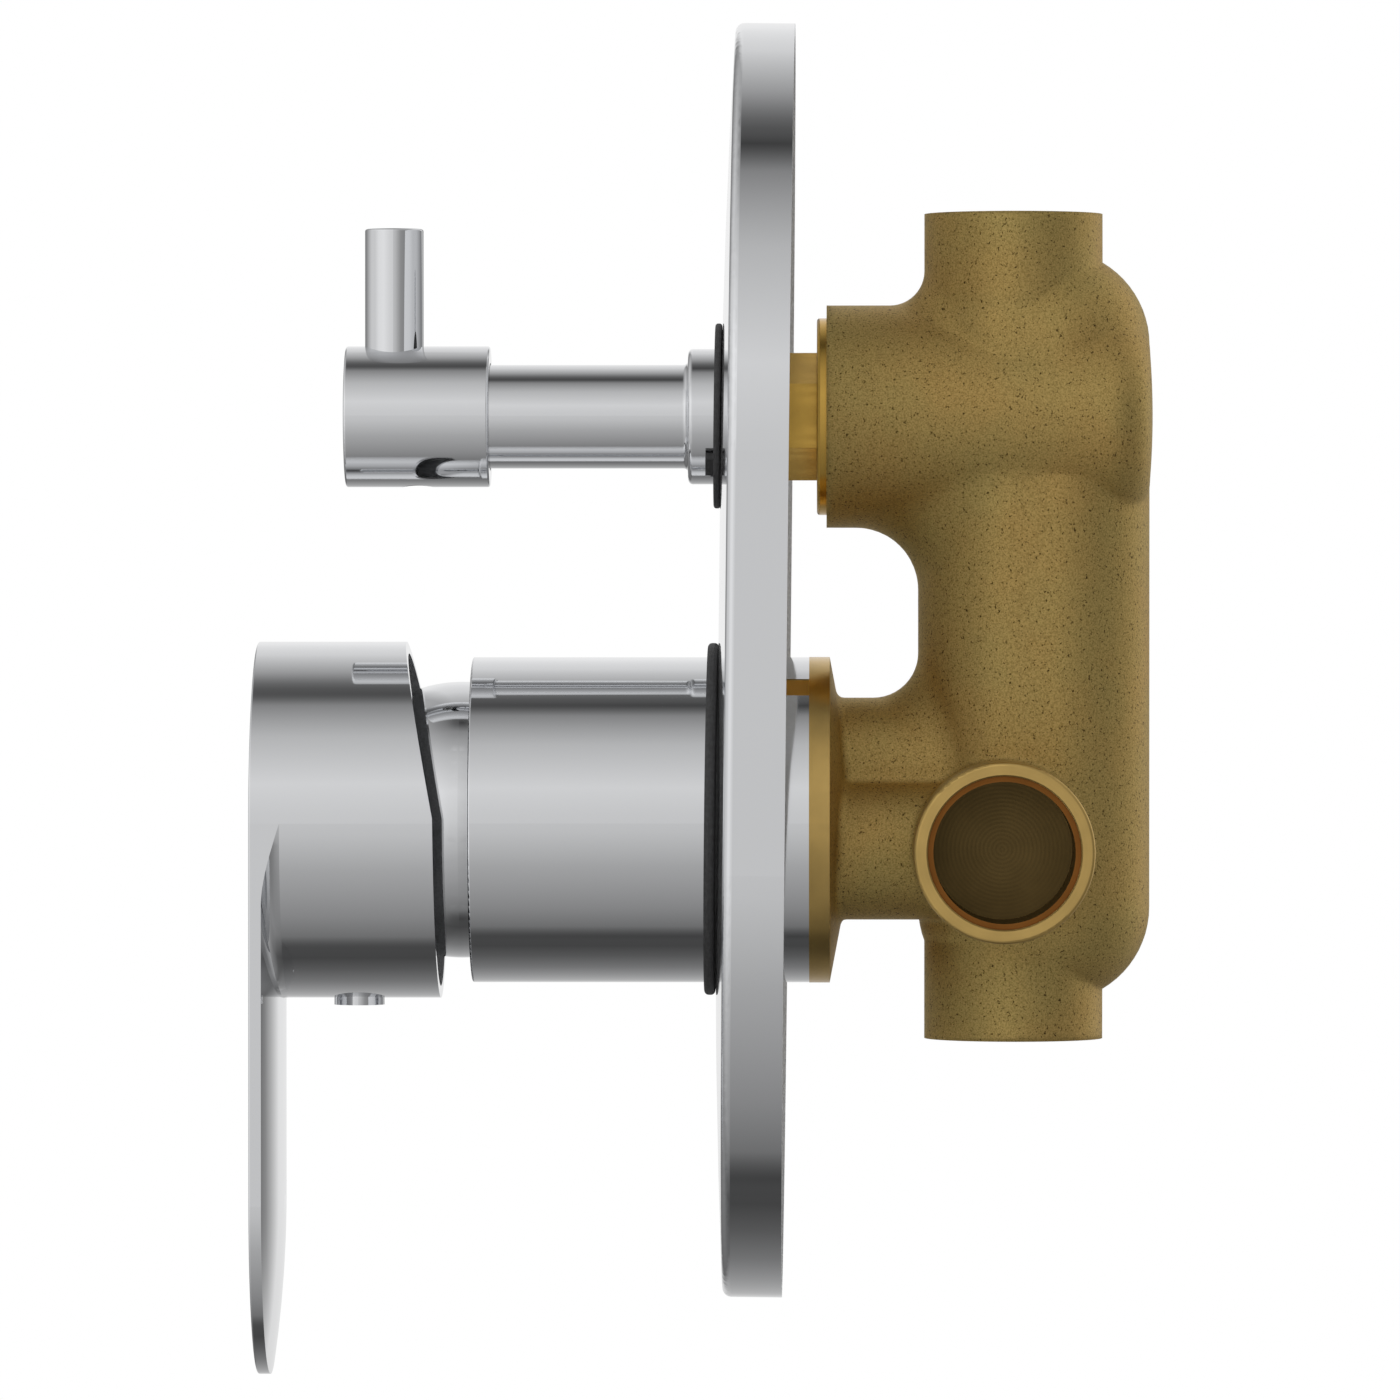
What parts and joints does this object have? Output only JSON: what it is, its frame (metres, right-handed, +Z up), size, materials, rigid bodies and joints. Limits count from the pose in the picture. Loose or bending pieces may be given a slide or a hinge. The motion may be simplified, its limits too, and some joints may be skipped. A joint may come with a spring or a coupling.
{
  "type": "shower diverter valve",
  "caption": "Concealed bath and shower mixer: lever handle, diverter knob, round-ended chrome cover plate and cast brass body with pipe ports.",
  "frame": {"origin": "where the mixer's axis meets the wall plane, on the plane of the cover plate's back rim", "axes": "+Z up, +Y into the wall towards the valve body, -Y towards the user, +X to the user's right"},
  "size_m": [0.1254, 0.1295, 0.1957],
  "materials": {
    "cast_brass": "sand-cast",
    "machined_brass": "turned",
    "chrome": "polished",
    "rubber": "matte",
    "cartridge_plastic": "moulded",
    "ceramic": "lapped",
    "steel": "turned"
  },
  "bodies": {
    "valve": {"valve_body": "cast_brass", "cartridge_base": "cartridge_plastic", "cartridge_base_seals": "rubber", "cartridge_fixed_disc": "ceramic", "cartridge_housing": "cartridge_plastic", "cartridge_nut": "machined_brass", "bonnet_dome": "chrome", "sleeve": "chrome", "sleeve_o_ring": "rubber", "cover_plate": "chrome", "sleeve_gasket": "rubber", "tube_gasket": "rubber", "diverter_headwork": "machined_brass", "headwork_o_ring": "rubber", "diverter_seat_disc": "ceramic", "diverter_seat_seal": "rubber", "diverter_tube": "chrome"},
    "driver": {"cartridge_driver": "cartridge_plastic", "spindle_pivot_pin": "steel"},
    "lever": {"cartridge_spindle": "steel", "lever_handle": "chrome", "handle_set_screw": "steel", "index_button": "chrome"},
    "mixing_disc": {"cartridge_disc_carrier": "cartridge_plastic", "cartridge_moving_disc": "ceramic"},
    "diverter": {"diverter_spindle": "machined_brass", "diverter_moving_disc": "ceramic", "spindle_clip": "steel", "diverter_knob": "chrome", "knob_pin": "chrome", "knob_set_screw": "steel"}
  },
  "joints": [
    {"name": "temperature_turn", "type": "hinge", "parent": "valve", "child": "driver", "pos_m": [0, -0.038, 0], "axis": [0, -1, 0], "range_deg": [-45, 45]},
    {"name": "flow_lift", "type": "hinge", "parent": "driver", "child": "lever", "pos_m": [0, -0.038, 0], "axis": [-1, 0, 0], "range_deg": [0, 20]},
    {"name": "disc_slide", "type": "slide", "parent": "driver", "child": "mixing_disc", "axis": [0, 0, -1], "range_m": [0, 0.0039]},
    {"name": "diverter_turn", "type": "hinge", "parent": "valve", "child": "diverter", "pos_m": [0, -0.0535, 0.0584], "axis": [0, -1, 0], "range_deg": [-90, 90]}
  ],
  "couplings": [
    {"joint": "disc_slide", "follows": "flow_lift", "m_per_rad": 0.011}
  ]
}
